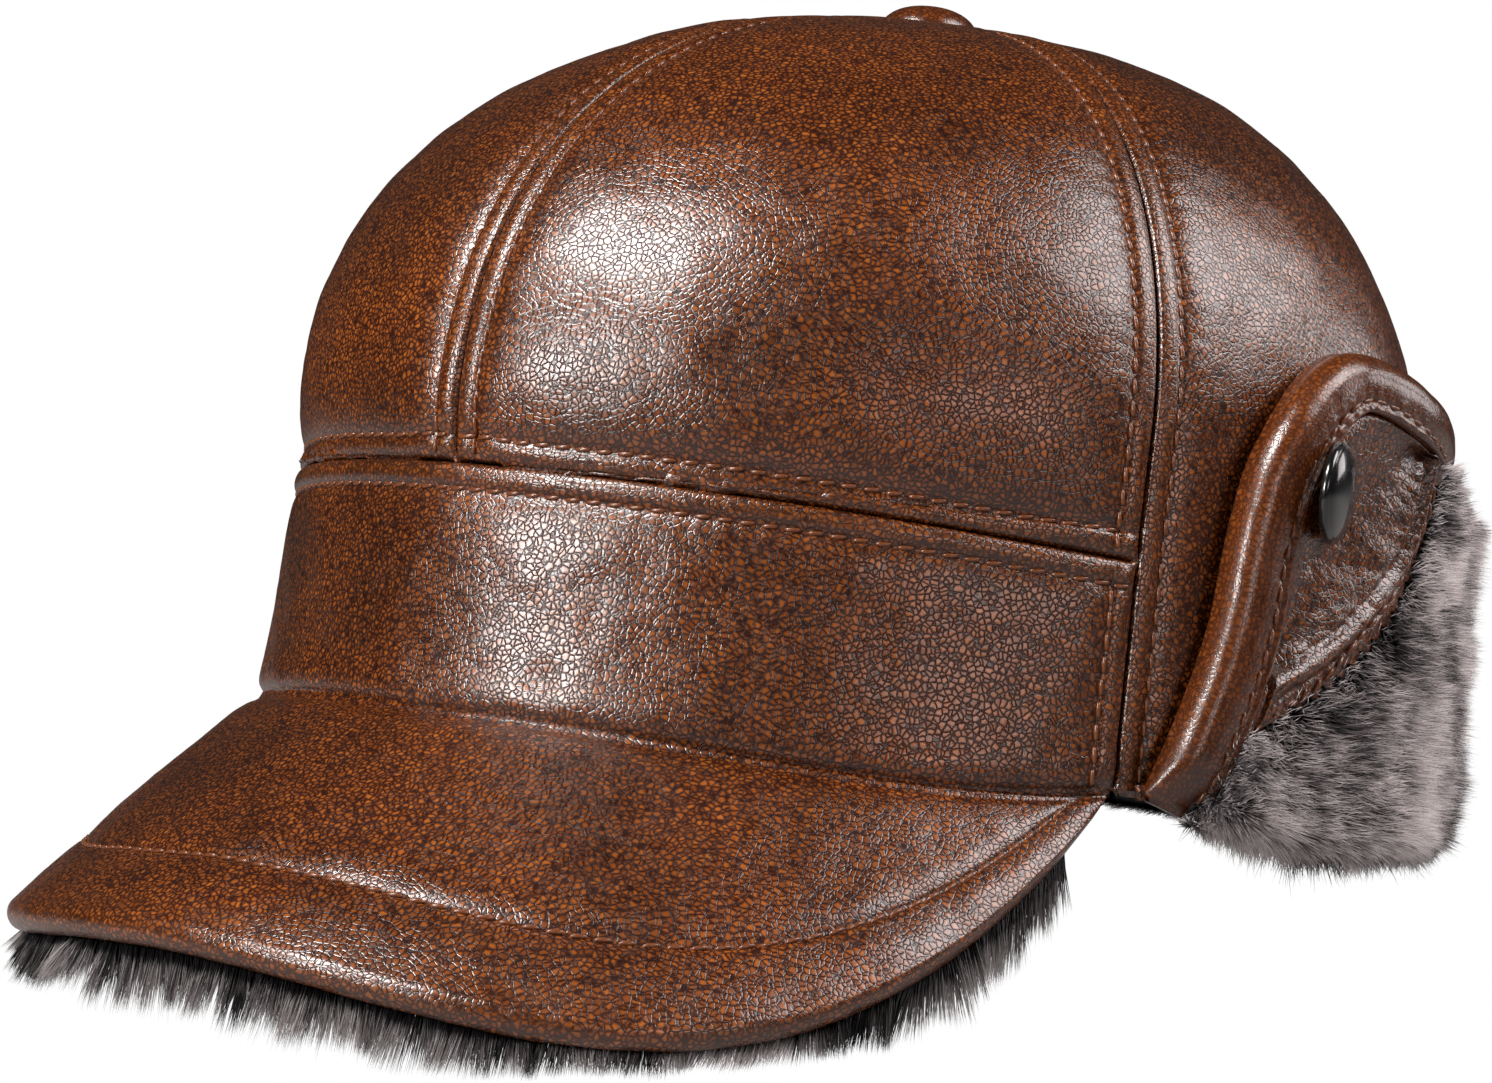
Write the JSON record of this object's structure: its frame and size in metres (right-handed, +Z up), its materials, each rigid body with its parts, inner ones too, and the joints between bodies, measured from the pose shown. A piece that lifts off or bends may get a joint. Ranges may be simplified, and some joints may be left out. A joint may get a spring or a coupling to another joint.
{
  "type": "trapper hat",
  "caption": "Leather trapper hat with an arched visor, domed crown and a fur-lined ear and neck flap turned up and snapped to the sides; the flap folds down.",
  "frame": {"origin": "on the table, under the middle of the hat's bounding box", "axes": "+Z up from the table; -Y is the front, where the visor points; +X is the wearer's left"},
  "size_m": [0.2264, 0.2624, 0.1521],
  "materials": {
    "brown_leather": "glossy pebbled leather, speckled orange-tan on dark brown",
    "grey_fur": "grey and black faux fur pile, about 10 mm",
    "lining_plush": "short dark plush over wadding",
    "sweatband_leather": "smooth satin leather",
    "visor_board": "stiff plastic board",
    "black_enamel": "gloss black enamel on a snap cap",
    "snap_metal": "plated metal"
  },
  "bodies": {
    "crown": {"front_band": "brown_leather", "crown_front_left": "brown_leather", "crown_front_right": "brown_leather", "crown_side_left": "brown_leather", "crown_side_right": "brown_leather", "crown_back_left": "brown_leather", "crown_back_right": "brown_leather", "lining_front_left": "lining_plush", "lining_front_right": "lining_plush", "lining_side_left": "lining_plush", "lining_side_right": "lining_plush", "lining_back_left": "lining_plush", "lining_back_right": "lining_plush", "sweatband": "sweatband_leather", "top_button_cover": "brown_leather", "top_button_shell": "snap_metal", "visor_leather": "brown_leather", "visor_board": "visor_board", "visor_fur": "grey_fur", "snap_stud_left": "snap_metal", "snap_stud_right": "snap_metal"},
    "ear_left": {"ear_left_leather": "brown_leather", "ear_left_edge": "brown_leather", "ear_left_fur": "grey_fur", "ear_left_facing": "brown_leather", "ear_left_snap_cap": "black_enamel", "ear_left_snap_socket": "snap_metal"},
    "neck_side_left": {"neck_side_left_leather": "brown_leather", "neck_side_left_edge": "brown_leather", "neck_side_left_fur": "grey_fur"},
    "neck_back_left": {"neck_back_left_leather": "brown_leather", "neck_back_left_edge": "brown_leather", "neck_back_left_fur": "grey_fur"},
    "ear_right": {"ear_right_leather": "brown_leather", "ear_right_edge": "brown_leather", "ear_right_fur": "grey_fur", "ear_right_facing": "brown_leather", "ear_right_snap_cap": "black_enamel", "ear_right_snap_socket": "snap_metal"},
    "neck_side_right": {"neck_side_right_leather": "brown_leather", "neck_side_right_edge": "brown_leather", "neck_side_right_fur": "grey_fur"},
    "neck_back_right": {"neck_back_right_leather": "brown_leather", "neck_back_right_edge": "brown_leather", "neck_back_right_fur": "grey_fur"}
  },
  "joints": [
    {"name": "fold_ear_left", "type": "hinge", "parent": "crown", "child": "ear_left", "pos_m": [0.09822, 0.01679, 0.02055], "axis": [0.0633, 0.9831, -0.1716], "range_deg": [0, 168]},
    {"name": "fold_neck_side_left", "type": "hinge", "parent": "crown", "child": "neck_side_left", "pos_m": [0.07956, 0.0724, 0.01084], "axis": [-0.6336, 0.7621, -0.133], "range_deg": [0, 168]},
    {"name": "fold_neck_back_left", "type": "hinge", "parent": "crown", "child": "neck_back_left", "pos_m": [0.03039, 0.10605, 0.00497], "axis": [-0.943, 0.328, -0.0572], "range_deg": [0, 168]},
    {"name": "fold_ear_right", "type": "hinge", "parent": "crown", "child": "ear_right", "pos_m": [-0.09822, 0.01679, 0.02055], "axis": [0.0633, -0.9831, 0.1716], "range_deg": [0, 168]},
    {"name": "fold_neck_side_right", "type": "hinge", "parent": "crown", "child": "neck_side_right", "pos_m": [-0.07956, 0.0724, 0.01084], "axis": [-0.6336, -0.7621, 0.133], "range_deg": [0, 168]},
    {"name": "fold_neck_back_right", "type": "hinge", "parent": "crown", "child": "neck_back_right", "pos_m": [-0.03039, 0.10605, 0.00497], "axis": [-0.943, -0.328, 0.0572], "range_deg": [0, 168]}
  ],
  "couplings": [
    {"joint": "fold_neck_side_left", "follows": "fold_ear_left", "ratio": 1},
    {"joint": "fold_neck_back_left", "follows": "fold_ear_left", "ratio": 1},
    {"joint": "fold_ear_right", "follows": "fold_ear_left", "ratio": 1},
    {"joint": "fold_neck_side_right", "follows": "fold_ear_left", "ratio": 1},
    {"joint": "fold_neck_back_right", "follows": "fold_ear_left", "ratio": 1}
  ]
}
